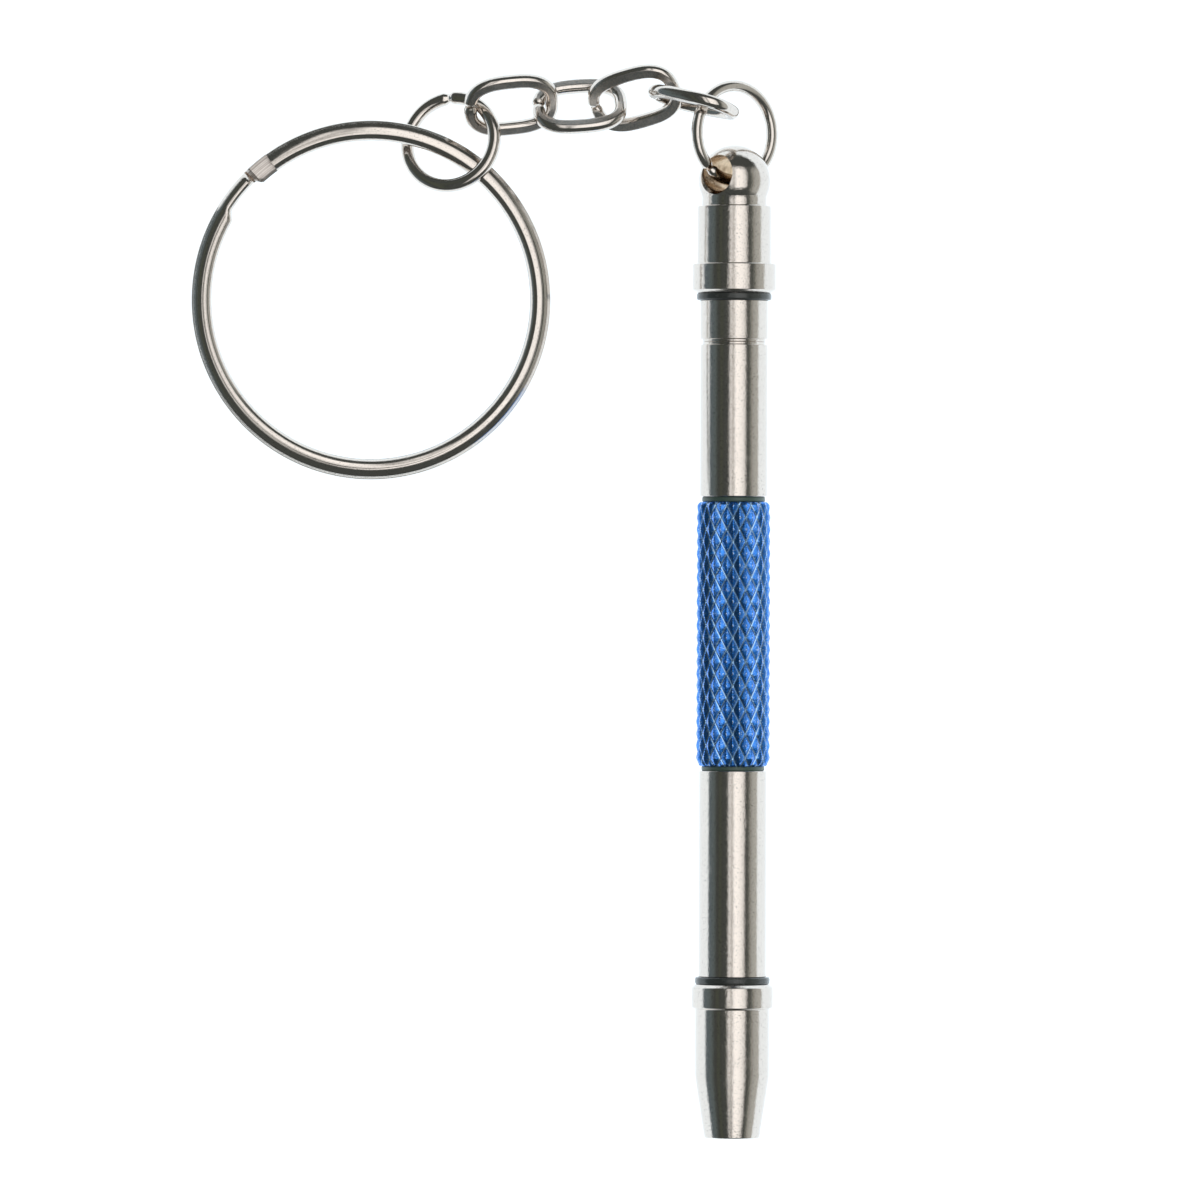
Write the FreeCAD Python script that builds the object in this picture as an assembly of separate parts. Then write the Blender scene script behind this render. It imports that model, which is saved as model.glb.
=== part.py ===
"""Pocket screwdriver on a key ring: split ring, curb chain, ball-ended cap, two plated
tubes with a knurled grip between them, and a tapered cap with a hexagon socket.

Millimetres. The driver lies along Y, with the socket's open face at y = 0 and the chain beyond
the ball at the far end. +Z is up, away from the surface that the flanges rest on.
"""
import math
import os

import FreeCAD
import Part
from FreeCAD import Placement, Rotation, Vector

# Diameters of the driver's outside
FLANGE_D = 7.0
CAP_D = 6.2
TUBE_D = 5.64
SLEEVE_D = 6.2
SLEEVE_CHAMFER = 0.35
WASHER_D = 5.24
SEAL_D = 6.24
TIP_D = 4.6
NECK_D = 5.4
BALL_D = 6.0

# Stations along the driver's axis
TAPER_Y = 5.14
LOWER_FLANGE_Y = (10.77, 10.92, 12.53, 12.80)
LOWER_SEAL_Y = (12.82, 13.40)
LOWER_TUBE_Y = (13.42, 30.58)
SLEEVE_Y = (30.98, 52.98)
UPPER_TUBE_Y = (53.42, 66.31)
COLLAR_END_Y = 69.77
UPPER_SEAL_Y = (69.79, 70.37)
UPPER_FLANGE_Y = (70.39, 70.64, 72.81)
CAP_SHOULDER_Y = 77.64
BALL_Y = 79.73
CROSS_HOLE_Y = 80.31

# Inside of the driver
CORE_D = 3.6
CORE_MIDDLE_D = 4.4
CORE_GRIP = 8.0
SPIGOT_LENGTH = 4.5
SEAL_SEAT_D = 4.3
THREAD_D = 5.0
THREAD_PLAY = 0.06
THREAD_LENGTH = 3.6
THREAD_START = (0.4, 0.75)
THREAD_RUNOUT = 0.35
SEAL_PLAY = 0.03
BLADE_D = 2.4
BLADE_ROOT = 4.0
UPPER_TIP_Y = 77.5
LOWER_TIP_Y = 5.4
GROOVE = (0.45, 0.22)
SOCKET_FLATS = 3.2
SOCKET_DEPTH = 3.4

# Cross hole through the ball and the ring that swings in it
CROSS_HOLE_D = 3.0
CROSS_HOLE_CHAMFER = 0.25
CROSS_HOLE_AXIS = Vector(0.6, 0, -0.8)
END_RING = {"radius": 3.95, "wire": 1.0, "lift": 3.40, "turn": 37.0, "seam": -132.0}

# Curb chain: one link shape, each link's middle and its yaw, pitch and roll
LINK = {"length": 8.0, "width": 5.7, "wire": 1.1, "flat": 0.4}
LINK_PLACES = {
    "link_1": ((-18.65, 86.05, -1.03), (6.3, -6.3, 36.4)),
    "link_2": ((-12.93, 85.98, -1.37), (4.4, -2.1, -40.6)),
    "link_3": ((-8.31, 86.66, -0.95), (15.5, 16.4, 31.4)),
    "link_4": ((-3.45, 86.27, 0.68), (-12.8, 31.2, 83.5)),
}
RING_LINK = {"radius": 3.83, "wire": 1.1, "seam": 97.0}
RING_LINK_PLACE = ((-23.66, 82.99, -1.39), (0.1, 18.5, -15.2))
SEAM = 0.12

# Split ring: two flat coils of one wire, joined by a short rise
SPLIT_RING = {"outer": 15.0, "band": 1.7, "coil": 0.93, "gap": 0.04, "round": 0.42}
SPLIT_RING_CENTRE = (-30.30, 69.76, -1.62)
SPLIT_RING_TILT = (-0.035, 0.050)
UPPER_COIL_END = 126.0
RISE_ANGLES = (136.5, 149.0)
RISE_BAND = 1.15

AXIS = Vector(0, 1, 0)


def lathe(outline):
    """Turn an outline of (radius, y) points about the driver's axis."""
    points = [Vector(r, y, 0) for r, y in outline]
    face = Part.Face(Part.makePolygon(points + points[:1]))
    return face.revolve(Vector(0, 0, 0), AXIS, 360)


def bar(diameter, low, high):
    return Part.makeCylinder(diameter / 2, high - low, Vector(0, low, 0), AXIS)


def seal(low, high):
    """A rubber ring nipped between two faces: rounded outside, flat where it is pressed."""
    inner, outer, half = SEAL_SEAT_D / 2 + SEAL_PLAY, SEAL_D / 2, (high - low) / 2
    middle = (low + high) / 2
    top = Vector(outer - half * 0.8, high, 0)
    bottom = Vector(outer - half * 0.8, low, 0)
    corners = [Vector(inner, high, 0), Vector(inner, low, 0)]
    edges = [
        Part.Arc(bottom, Vector(outer, middle, 0), top).toShape(),
        Part.makeLine(top, corners[0]),
        Part.makeLine(corners[0], corners[1]),
        Part.makeLine(corners[1], bottom),
    ]
    return Part.Face(Part.Wire(edges)).revolve(Vector(0, 0, 0), AXIS, 360)


def nose(face_y, seat_y, seam_y, out):
    """The plug in a tube's end: spigot, collar, seal seat and male thread, bored for a blade.

    The cap's face is at face_y, the collar ends at seat_y, and the tube ends at seam_y. out is
    +1 where the thread points along +Y and -1 where it points back.
    """
    thread_y = face_y + out * THREAD_LENGTH
    outline = [
        (0, seam_y - out * SPIGOT_LENGTH),
        (CORE_D / 2, seam_y - out * SPIGOT_LENGTH),
        (CORE_D / 2, seam_y),
    ]
    if seat_y != seam_y:
        outline += [
            (TUBE_D / 2 - GROOVE[1], seam_y),
            (TUBE_D / 2 - GROOVE[1], seam_y + out * GROOVE[0] / 2),
            (TUBE_D / 2, seam_y + out * GROOVE[0] / 2),
            (TUBE_D / 2, seat_y),
        ]
    outline += [
        (SEAL_SEAT_D / 2, seat_y),
        (SEAL_SEAT_D / 2, face_y + out * THREAD_START[0]),
        (THREAD_D / 2, face_y + out * THREAD_START[1]),
        (THREAD_D / 2, thread_y - out * THREAD_RUNOUT),
        (THREAD_D / 2 - THREAD_RUNOUT, thread_y),
        (0, thread_y),
    ]
    body = lathe(outline)
    ends = sorted((thread_y - out * (THREAD_LENGTH + BLADE_ROOT), thread_y + out))
    return body.cut(bar(BLADE_D, *ends))


def blade_blank(root_y, tip_y):
    return bar(BLADE_D, min(root_y, tip_y), max(root_y, tip_y))


def slotted_blade(root_y, tip_y):
    """A round shank milled from both sides to a flat tip."""
    blank = blade_blank(root_y, tip_y)
    tip_half, slope = 0.2, 0.28
    long = abs(tip_y - root_y)
    for side in (1, -1):
        points = [
            Vector(0, tip_y - 1, side * (tip_half - slope * 1)),
            Vector(0, tip_y + long, side * (tip_half + slope * long)),
            Vector(0, tip_y + long, side * 2 * long),
            Vector(0, tip_y - 1, side * 2 * long),
        ]
        face = Part.Face(Part.makePolygon(points + points[:1]))
        face.translate(Vector(-BLADE_D, 0, 0))
        blank = blank.cut(face.extrude(Vector(2 * BLADE_D, 0, 0)))
    return blank


def phillips_blade(root_y, tip_y):
    """A round shank turned to a blunt point, with four flutes between its wings."""
    point = [
        (0, root_y),
        (BLADE_D / 2, root_y),
        (BLADE_D / 2, tip_y - 1.9),
        (0.42, tip_y - 0.35),
        (0.2, tip_y),
        (0, tip_y),
    ]
    blank = lathe(point)
    flute = [Vector(0.19, tip_y + 1, 0.19), Vector(2.6, tip_y + 1, 0.45), Vector(0.45, tip_y + 1, 2.6)]
    for quarter in range(4):
        cutter = Part.Face(Part.makePolygon(flute + flute[:1])).extrude(Vector(0, -4.4, 0))
        cutter.rotate(Vector(0, tip_y - 3, 0), Vector(1, 0, -1), 9)
        cutter.rotate(Vector(0, 0, 0), AXIS, 90 * quarter)
        blank = blank.cut(cutter)
    return blank


def socket_cap():
    """The tapered lower cap: flange, cylinder and taper, bored and threaded, hexagon in its tip."""
    f0, f1, f2, f3 = LOWER_FLANGE_Y
    bore_y, drill_y = f3 - THREAD_LENGTH - 0.6, LOWER_TIP_Y - 0.5
    thread_r, drill_r = THREAD_D / 2 + THREAD_PLAY, 1.7
    edge = 0.08
    cap = lathe([
        (0, 0),
        (TIP_D / 2 - edge, 0),
        (TIP_D / 2, edge),
        (CAP_D / 2, TAPER_Y),
        (CAP_D / 2, f0),
        (FLANGE_D / 2 - 0.1, f1),
        (FLANGE_D / 2 - 0.1, f2),
        (SEAL_D / 2, f3),
        (thread_r, f3),
        (thread_r, bore_y),
        (drill_r, bore_y - 0.8),
        (drill_r, drill_y),
        (0, drill_y - 0.3),
    ])
    corner = SOCKET_FLATS / 2 / math.cos(math.pi / 6)
    points = [
        Vector(corner * math.cos(k * math.pi / 3), -1, corner * math.sin(k * math.pi / 3))
        for k in range(6)
    ]
    socket = Part.Face(Part.makePolygon(points + points[:1])).extrude(Vector(0, 1 + SOCKET_DEPTH, 0))
    return cap.cut(socket)


def upper_cap():
    """The ball-ended cap: flange, cylinder, neck and ball, with a cross hole for the ring."""
    f0, f1, f2 = UPPER_FLANGE_Y
    thread_r, drill_r = THREAD_D / 2 + THREAD_PLAY, 1.5
    bore_y, drill_y = f0 + THREAD_LENGTH + 0.6, UPPER_TIP_Y + 0.3
    neck_top = BALL_Y - math.sqrt((BALL_D / 2) ** 2 - (NECK_D / 2) ** 2)
    cap = lathe([
        (thread_r, f0),
        (SEAL_D / 2 + 0.05, f0),
        (FLANGE_D / 2, f1),
        (FLANGE_D / 2, f2 - 0.1),
        (FLANGE_D / 2 - 0.1, f2),
        (CAP_D / 2 - 0.02, f2),
        (CAP_D / 2 - 0.02, CAP_SHOULDER_Y - 0.12),
        (CAP_D / 2 - 0.14, CAP_SHOULDER_Y),
        (NECK_D / 2, CAP_SHOULDER_Y),
        (NECK_D / 2, neck_top + 0.2),
        (0, neck_top + 0.2),
        (0, drill_y + 0.3),
        (drill_r, drill_y),
        (drill_r, bore_y + 0.8),
        (thread_r, bore_y),
    ])
    ball = Part.makeSphere(BALL_D / 2, Vector(0, BALL_Y, 0))
    ball = ball.cut(bar(BALL_D + 1, BALL_Y - BALL_D, neck_top))
    return cap.fuse(ball).removeSplitter().cut(cross_hole())


def cross_hole():
    """The hole across the ball, opened at both mouths by a small chamfer."""
    radius, reach = CROSS_HOLE_D / 2, BALL_D
    centre = Vector(0, CROSS_HOLE_Y, 0)
    cutter = Part.makeCylinder(radius, 2 * reach, centre - CROSS_HOLE_AXIS * reach, CROSS_HOLE_AXIS)
    offset = CROSS_HOLE_Y - BALL_Y
    mouth = math.sqrt((BALL_D / 2) ** 2 - radius**2 - offset**2)
    for way in (1, -1):
        direction = CROSS_HOLE_AXIS * way
        start = centre + direction * (mouth - CROSS_HOLE_CHAMFER)
        cone = Part.makeCone(radius, radius + 3, 3, start, direction)
        cutter = cutter.fuse(cone)
    return cutter


def arc_of_wire(wire, radius, sweep, centre, start):
    """A length of bent round wire: part of a torus in the XY plane, angles in degrees."""
    section = Part.Face(Part.Wire(Part.makeCircle(wire / 2, Vector(radius, 0, 0), AXIS)))
    bend = section.revolve(Vector(0, 0, 0), Vector(0, 0, 1), sweep)
    bend.rotate(Vector(0, 0, 0), Vector(0, 0, 1), start)
    bend.translate(Vector(*centre, 0))
    return bend


def chain_link():
    """A link in the XY plane, long axis along X: rounded ends with a short flat, seam in one."""
    wire, flat = LINK["wire"], LINK["flat"]
    half_length, half_width = (LINK["length"] - wire) / 2, (LINK["width"] - wire) / 2
    radius = half_width - flat / 2
    side = half_length - radius
    pieces = []
    for k, (x, y) in enumerate([(side, flat / 2), (-side, flat / 2), (-side, -flat / 2), (side, -flat / 2)]):
        pieces.append(arc_of_wire(wire, radius, 90, (x, y), 90 * k))
    for y in (half_width, -half_width):
        pieces.append(Part.makeCylinder(wire / 2, 2 * side, Vector(-side, y, 0), Vector(1, 0, 0)))
    for x in (half_length, -half_length):
        pieces.append(Part.makeCylinder(wire / 2, flat, Vector(x, -flat / 2, 0), AXIS))
    link = pieces[0].multiFuse(pieces[1:]).removeSplitter()
    seam = Part.makeBox(2 * wire, SEAM, 2 * wire, Vector(-half_length - wire, flat / 2, -wire))
    return link.cut(seam)


def round_ring(sizes):
    """A ring bent from round wire, cut through at its seam."""
    open_angle = math.degrees(SEAM / sizes["radius"])
    start = sizes["seam"] + open_angle / 2
    return arc_of_wire(sizes["wire"], sizes["radius"], 360 - open_angle, (0, 0), start)


def placed(shape, middle, yaw_pitch_roll):
    """Roll about X, raise the +X end by pitch, turn by yaw, then move to the middle."""
    yaw, pitch, roll = yaw_pitch_roll
    turn = Rotation(Vector(0, 0, 1), yaw).multiply(Rotation(Vector(0, 1, 0), -pitch))
    turn = turn.multiply(Rotation(Vector(1, 0, 0), roll))
    shape.Placement = Placement(Vector(*middle), turn)
    return shape


def end_ring():
    """The ring through the ball's cross hole, standing on edge, with its seam in the hole."""
    ring = round_ring(END_RING)
    ring.rotate(Vector(0, 0, 0), AXIS, END_RING["turn"])
    ring.translate(Vector(0, CROSS_HOLE_Y + END_RING["lift"], 0))
    return ring


def coil(start, end, level):
    """One flat coil of the split ring: a band with its outer edges rounded, angles in degrees."""
    outer, band = SPLIT_RING["outer"], SPLIT_RING["band"]
    thick, soft = SPLIT_RING["coil"], SPLIT_RING["round"]
    inner = outer - band
    face_z = level * SPLIT_RING["gap"] / 2
    top = face_z + level * thick
    knee = top - level * soft
    middle = math.sqrt(0.5) * soft
    corners = [
        Vector(inner, 0, face_z),
        Vector(inner, 0, knee),
        Vector(inner + soft - middle, 0, knee + level * middle),
        Vector(inner + soft, 0, top),
        Vector(outer - soft, 0, top),
        Vector(outer - soft + middle, 0, knee + level * middle),
        Vector(outer, 0, knee),
        Vector(outer, 0, face_z),
    ]
    edges = [
        Part.makeLine(corners[0], corners[1]),
        Part.Arc(corners[1], corners[2], corners[3]).toShape(),
        Part.makeLine(corners[3], corners[4]),
        Part.Arc(corners[4], corners[5], corners[6]).toShape(),
        Part.makeLine(corners[6], corners[7]),
        Part.makeLine(corners[7], corners[0]),
    ]
    section = Part.Face(Part.Wire(edges))
    band_solid = section.revolve(Vector(0, 0, 0), Vector(0, 0, 1), end - start)
    band_solid.rotate(Vector(0, 0, 0), Vector(0, 0, 1), start)
    return band_solid


def rise():
    """The wire's climb from the lower coil to the upper one, an arc in a tilted plane."""
    middle_radius = SPLIT_RING["outer"] - SPLIT_RING["band"] / 2
    level = (SPLIT_RING["coil"] + SPLIT_RING["gap"]) / 2
    overlap = 3.0
    first, last = (math.radians(a) for a in (RISE_ANGLES[0] - overlap, RISE_ANGLES[1] + overlap))
    height = (-level, 0, level)
    path = [
        Vector(middle_radius * math.cos(a), middle_radius * math.sin(a), z)
        for a, z in zip((first, (first + last) / 2, last), height)
    ]
    curve = Part.Arc(*path).toShape().Curve
    centre, normal = curve.Center, curve.Axis
    out = (path[0] - centre).normalize()
    side = normal.cross(out)
    half_band, half_thick = RISE_BAND / 2, SPLIT_RING["coil"] / 2 - 0.02
    corners = [
        path[0] + out * (half_band * i) + normal * (half_thick * j)
        for i, j in ((-1, -1), (1, -1), (1, 1), (-1, 1))
    ]
    section = Part.Face(Part.makePolygon(corners + corners[:1]))
    ahead = (path[1] - path[0]).dot(side) > 0
    swept = math.degrees((path[0] - centre).getAngle(path[2] - centre))
    return section.revolve(centre, normal if ahead else -normal, swept)


def split_ring():
    """Both coils and the rise in one wire, leaning on the ring link at one side."""
    low_end, high_start = RISE_ANGLES
    lower = coil(high_start - 360, low_end, -1)
    upper = coil(high_start, UPPER_COIL_END + 360, 1)
    ring = lower.multiFuse([upper, rise()]).removeSplitter()
    lean = Rotation(Vector(0, 0, 1), Vector(-SPLIT_RING_TILT[0], -SPLIT_RING_TILT[1], 1))
    ring.Placement = Placement(Vector(*SPLIT_RING_CENTRE), lean)
    return ring


def hollow(outer, inner, low, high):
    return bar(outer, low, high).cut(bar(inner, low - 1, high + 1))


def grip_sleeve(low, high):
    """The sleeve on the core rod, as wide as its knurl, chamfered at both ends."""
    outer, bore = SLEEVE_D / 2, CORE_MIDDLE_D / 2
    return lathe([
        (bore, low),
        (outer - SLEEVE_CHAMFER, low),
        (outer, low + SLEEVE_CHAMFER),
        (outer, high - SLEEVE_CHAMFER),
        (outer - SLEEVE_CHAMFER, high),
        (bore, high),
    ])


def upper_tube():
    low, high = UPPER_TUBE_Y
    width, depth = GROOVE
    return lathe([
        (CORE_D / 2, low),
        (TUBE_D / 2, low),
        (TUBE_D / 2, high - width / 2),
        (TUBE_D / 2 - depth, high - width / 2),
        (TUBE_D / 2 - depth, high),
        (CORE_D / 2, high),
    ])


def core_rod():
    """The rod that carries the grip, stepped down at each end to press into the tubes."""
    low, high = LOWER_TUBE_Y[1], UPPER_TUBE_Y[0]
    return lathe([
        (0, low - CORE_GRIP),
        (CORE_D / 2, low - CORE_GRIP),
        (CORE_D / 2, low),
        (CORE_MIDDLE_D / 2, low),
        (CORE_MIDDLE_D / 2, high),
        (CORE_D / 2, high),
        (CORE_D / 2, high + CORE_GRIP),
        (0, high + CORE_GRIP),
    ])


upper_root_y = UPPER_SEAL_Y[1] - BLADE_ROOT
lower_root_y = LOWER_SEAL_Y[0] + BLADE_ROOT

nodes = {
    "socket_cap": socket_cap(),
    "lower_o_ring": seal(*LOWER_SEAL_Y),
    "lower_nose": nose(LOWER_SEAL_Y[0], LOWER_TUBE_Y[0], LOWER_TUBE_Y[0], -1),
    "slotted_blade": slotted_blade(lower_root_y, LOWER_TIP_Y),
    "lower_tube": hollow(TUBE_D, CORE_D, *LOWER_TUBE_Y),
    "lower_washer": hollow(WASHER_D, CORE_MIDDLE_D, LOWER_TUBE_Y[1], SLEEVE_Y[0]),
    "core_rod": core_rod(),
    "grip_sleeve": grip_sleeve(*SLEEVE_Y),
    "upper_washer": hollow(WASHER_D, CORE_MIDDLE_D, SLEEVE_Y[1], UPPER_TUBE_Y[0]),
    "upper_tube": upper_tube(),
    "upper_nose": nose(UPPER_SEAL_Y[1], COLLAR_END_Y, UPPER_TUBE_Y[1], 1),
    "phillips_blade": phillips_blade(upper_root_y, UPPER_TIP_Y),
    "upper_o_ring": seal(*UPPER_SEAL_Y),
    "upper_cap": upper_cap(),
    "end_ring": end_ring(),
    "ring_link": placed(round_ring(RING_LINK), *RING_LINK_PLACE),
    "split_ring": split_ring(),
}
for name, place in LINK_PLACES.items():
    nodes[name] = placed(chain_link(), *place)

os.makedirs("parts", exist_ok=True)
for name, shape in nodes.items():
    solids = shape.Solids
    if len(solids) != 1 or not shape.isValid():
        raise RuntimeError(f"{name}: {len(solids)} solids, valid {shape.isValid()}")
    solids[0].exportStep(f"parts/{name}.step")
    box = shape.BoundBox
    print(f"{name:15s} {shape.Volume:9.2f} mm3  z from {box.ZMin:.2f}")
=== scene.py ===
import math

import bmesh
import bpy
from mathutils import Euler, Matrix, Vector


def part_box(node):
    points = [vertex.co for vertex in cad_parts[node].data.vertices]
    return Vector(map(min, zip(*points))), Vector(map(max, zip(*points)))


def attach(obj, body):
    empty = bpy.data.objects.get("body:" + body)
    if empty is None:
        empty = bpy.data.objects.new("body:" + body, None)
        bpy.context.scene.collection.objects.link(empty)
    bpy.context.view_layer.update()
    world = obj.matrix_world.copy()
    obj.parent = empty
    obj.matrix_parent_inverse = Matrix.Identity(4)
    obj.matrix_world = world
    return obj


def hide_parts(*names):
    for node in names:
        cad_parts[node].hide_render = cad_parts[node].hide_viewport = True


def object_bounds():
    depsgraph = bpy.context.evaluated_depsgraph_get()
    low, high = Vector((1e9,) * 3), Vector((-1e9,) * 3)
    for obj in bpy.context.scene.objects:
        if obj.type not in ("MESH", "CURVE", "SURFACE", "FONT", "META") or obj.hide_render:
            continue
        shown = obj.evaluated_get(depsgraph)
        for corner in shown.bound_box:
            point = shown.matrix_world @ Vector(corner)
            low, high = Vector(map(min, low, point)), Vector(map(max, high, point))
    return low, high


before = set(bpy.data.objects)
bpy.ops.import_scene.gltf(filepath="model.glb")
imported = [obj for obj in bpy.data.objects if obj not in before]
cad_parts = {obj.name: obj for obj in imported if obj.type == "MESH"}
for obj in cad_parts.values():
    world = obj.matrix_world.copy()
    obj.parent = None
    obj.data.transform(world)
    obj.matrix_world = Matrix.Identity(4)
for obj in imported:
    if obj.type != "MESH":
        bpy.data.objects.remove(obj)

MM = 0.001
cad_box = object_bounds()


# ---- The studio: floor, light and camera -----------------------------------------------------
# A white sheet lies well below the driver and its chain. One soft box hangs overhead in a dark
# room, with a dim wall off to the right, and the camera looks straight down past its edge.

CAMERA_PLACE = Vector((-11.11, 44.78, 880)) * MM
CAMERA_LENS = 316.8
CAMERA_ROLL = 0.00286
CAMERA_NEAR = 0.01
SHEET_SIZE = 4.0
SHEET_DROP = 60 * MM
SHEET_COLOUR = (0.84, 0.90, 0.95, 1)
SHEET_TINT = (0.97, 1.07, 1.15, 1)
SHEET_GLOW = 0.85
SOFT_BOX_GLOW = 1.36
BOX_FRONT, BOX_BACK = (-27, -24), (45, 42)
LENS_EDGE, LENS_SIDE, LENS_DIP = (-11, -15), (2 / 180 + 0.5, 0.5), 0.35
ROOM = (0.074, 0.082, 0.079)
WALL = (0.53, 0.55, 0.53)
WALLS_FADE = (0.66, 0.42)


def put(tree, kind, *inputs, **settings):
    """Add a node, set its properties and feed its inputs in order: link a socket, set a value."""
    node = tree.nodes.new(kind)
    for key, value in settings.items():
        setattr(node, key, value)
    for socket, value in zip(node.inputs, inputs):
        if isinstance(value, bpy.types.NodeSocket):
            tree.links.new(value, socket)
        elif value is not None:
            socket.default_value = value
    return node


def maths(tree, operation, *values):
    return put(tree, "ShaderNodeMath", *values, operation=operation).outputs[0]


def times(tree, first, second):
    return maths(tree, "MULTIPLY", first, second)


def plus(tree, first, second):
    return maths(tree, "ADD", first, second)


def minus(tree, first, second):
    return maths(tree, "SUBTRACT", first, second)


def vector(tree, operation, *values):
    return put(tree, "ShaderNodeVectorMath", *values, operation=operation).outputs[0]


def parts_of(tree, place):
    return put(tree, "ShaderNodeSeparateXYZ", place).outputs


def point(tree, *parts):
    return put(tree, "ShaderNodeCombineXYZ", *parts).outputs[0]


def between(tree, value, low, high, out_low=0.0, out_high=1.0):
    """A value carried smoothly from one range to another and held at its ends."""
    inputs = (value, low, high, out_low, out_high)
    return put(tree, "ShaderNodeMapRange", *inputs, interpolation_type="SMOOTHSTEP").outputs[0]


def mixed(tree, factor, first, second):
    """Two colours mixed by a factor. The five inputs between them are for plain numbers."""
    unused = [None] * 5
    return put(tree, "ShaderNodeMix", factor, *unused, first, second, data_type="RGBA").outputs[2]


def ramp(tree, value, stops):
    """A colour ramp over half a turn, from (degrees, colour) stops; a colour may be a grey number."""
    node = put(tree, "ShaderNodeValToRGB", value)
    elements = node.color_ramp.elements
    while len(elements) < len(stops):
        elements.new(1.0)
    for element, (degrees, colour) in zip(elements, stops):
        element.position = degrees / 180 + 0.5
        grey = isinstance(colour, (int, float))
        element.color = (colour, colour, colour, 1) if grey else (*colour, 1)
    return node.outputs[0]


def dimmed(colour, share):
    return tuple(share * c for c in colour)


def studio_light():
    """What polished metal sees by direction: soft box, camera, dark room and dim wall."""
    world = bpy.data.worlds.new("studio")
    bpy.context.scene.world = world
    world.use_nodes = True
    tree = world.node_tree
    tree.nodes.clear()
    direction = put(tree, "ShaderNodeTexCoord").outputs["Generated"]
    x, y, z = parts_of(tree, direction)
    across = times(tree, maths(tree, "ARCTAN2", x, z), 1 / math.pi)
    across = plus(tree, across, 0.5)
    along = maths(tree, "DEGREES", maths(tree, "ARCTAN2", y, z))
    glow = ramp(tree, across, [
        (-17, 0.0),
        (-14, 0.68),
        (-7, 0.76),
        (-5, 0.31),
        (-1, 0.29),
        (2, 0.90),
        (8, 1.0),
        (18, 0.96),
        (28, 0.86),
        (39.5, 0.58),
        (42, 0.0),
    ])
    inside = times(tree, between(tree, along, *BOX_FRONT), between(tree, along, *BOX_BACK))
    lens = times(tree, between(tree, along, *LENS_EDGE), between(tree, across, *LENS_SIDE))
    panel = times(tree, glow, inside)
    panel = times(tree, panel, minus(tree, 1.0, times(tree, lens, LENS_DIP)))
    panel = times(tree, panel, SOFT_BOX_GLOW)
    walls = ramp(tree, across, [
        (-90, (0.14, 0.18, 0.21)),
        (-67, (0.13, 0.165, 0.17)),
        (-58, ROOM),
        (-50, dimmed(ROOM, 0.86)),
        (-44, (0.095, 0.108, 0.08)),
        (-36, dimmed(ROOM, 0.84)),
        (-29, dimmed(ROOM, 1.15)),
        (-22, dimmed(ROOM, 0.92)),
        (44, ROOM),
        (55, (0.13, 0.14, 0.13)),
        (63, (0.39, 0.40, 0.37)),
        (75, WALL),
        (90, dimmed(WALL, 1.1)),
    ])
    level = between(tree, maths(tree, "ABSOLUTE", y), *WALLS_FADE)
    room = mixed(tree, level, (*ROOM, 1), walls)
    strength = vector(tree, "ADD", panel, room)
    seen = put(tree, "ShaderNodeLightPath").outputs["Is Camera Ray"]
    studio = put(tree, "ShaderNodeBackground", strength, 1.0).outputs[0]
    pale = put(tree, "ShaderNodeBackground", (1, 1, 1, 1), 1.0).outputs[0]
    shown = put(tree, "ShaderNodeMixShader", seen, studio, pale).outputs[0]
    put(tree, "ShaderNodeOutputWorld", shown)


def white_sheet():
    """The pale floor: a lit white sheet, far enough down for the chain to hang clear of it."""
    mesh = bpy.data.meshes.new("sheet")
    half = SHEET_SIZE / 2
    low = cad_box[0].z - SHEET_DROP
    corners = [(-half, -half, low), (half, -half, low), (half, half, low), (-half, half, low)]
    mesh.from_pydata(corners, [], [(0, 1, 2, 3)])
    sheet = bpy.data.objects.new("sheet", mesh)
    bpy.context.scene.collection.objects.link(sheet)
    material = bpy.data.materials.new("white_sheet")
    material.use_nodes = True
    shader = material.node_tree.nodes["Principled BSDF"]
    shader.inputs["Base Color"].default_value = SHEET_COLOUR
    shader.inputs["Roughness"].default_value = 0.9
    shader.inputs["Specular IOR Level"].default_value = 0.0
    shader.inputs["Emission Color"].default_value = SHEET_TINT
    shader.inputs["Emission Strength"].default_value = SHEET_GLOW
    mesh.materials.append(material)


camera = bpy.data.objects.new("camera", bpy.data.cameras.new("camera"))
camera.data.lens = CAMERA_LENS
camera.data.clip_start = CAMERA_NEAR
camera.location = CAMERA_PLACE
camera.rotation_euler = (0, 0, CAMERA_ROLL)
bpy.context.scene.collection.objects.link(camera)
bpy.context.scene.camera = camera
bpy.context.scene.view_settings.view_transform = "Standard"
studio_light()
white_sheet()


# ---- The plated tubes ------------------------------------------------------------------------
# Two brass tubes, turned and bright nickel plated, pressed on the core rod either side of the
# grip. The upper one ends at a narrow groove against the collar of its nose.

AROUND = 144
EDGE = 0.09 * MM
SIDE_SHARE, HOLD_SHARE = 0.3, 0.4
NEARLY_STRAIGHT = math.radians(84)
SHARP = math.radians(32)
NICKEL = (0.690, 0.632, 0.580)
PLATE_GRAIN = (2600, 4200, 2600)


def group(name, inputs, outputs):
    """An empty shader node group with named inputs, at their usual values, and named masks."""
    tree = bpy.data.node_groups.new(name, "ShaderNodeTree")
    for label, value in inputs.items():
        kind = "NodeSocketVector" if isinstance(value, tuple) else "NodeSocketFloat"
        socket = tree.interface.new_socket(label, in_out="INPUT", socket_type=kind)
        socket.default_value = value
    for label in outputs:
        tree.interface.new_socket(label, in_out="OUTPUT", socket_type="NodeSocketFloat")
    return tree, put(tree, "NodeGroupInput").outputs, put(tree, "NodeGroupOutput").inputs


def on_piece(tree):
    """The place on a piece that a pattern is laid by."""
    return put(tree, "ShaderNodeTexCoord").outputs["Object"]


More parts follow.
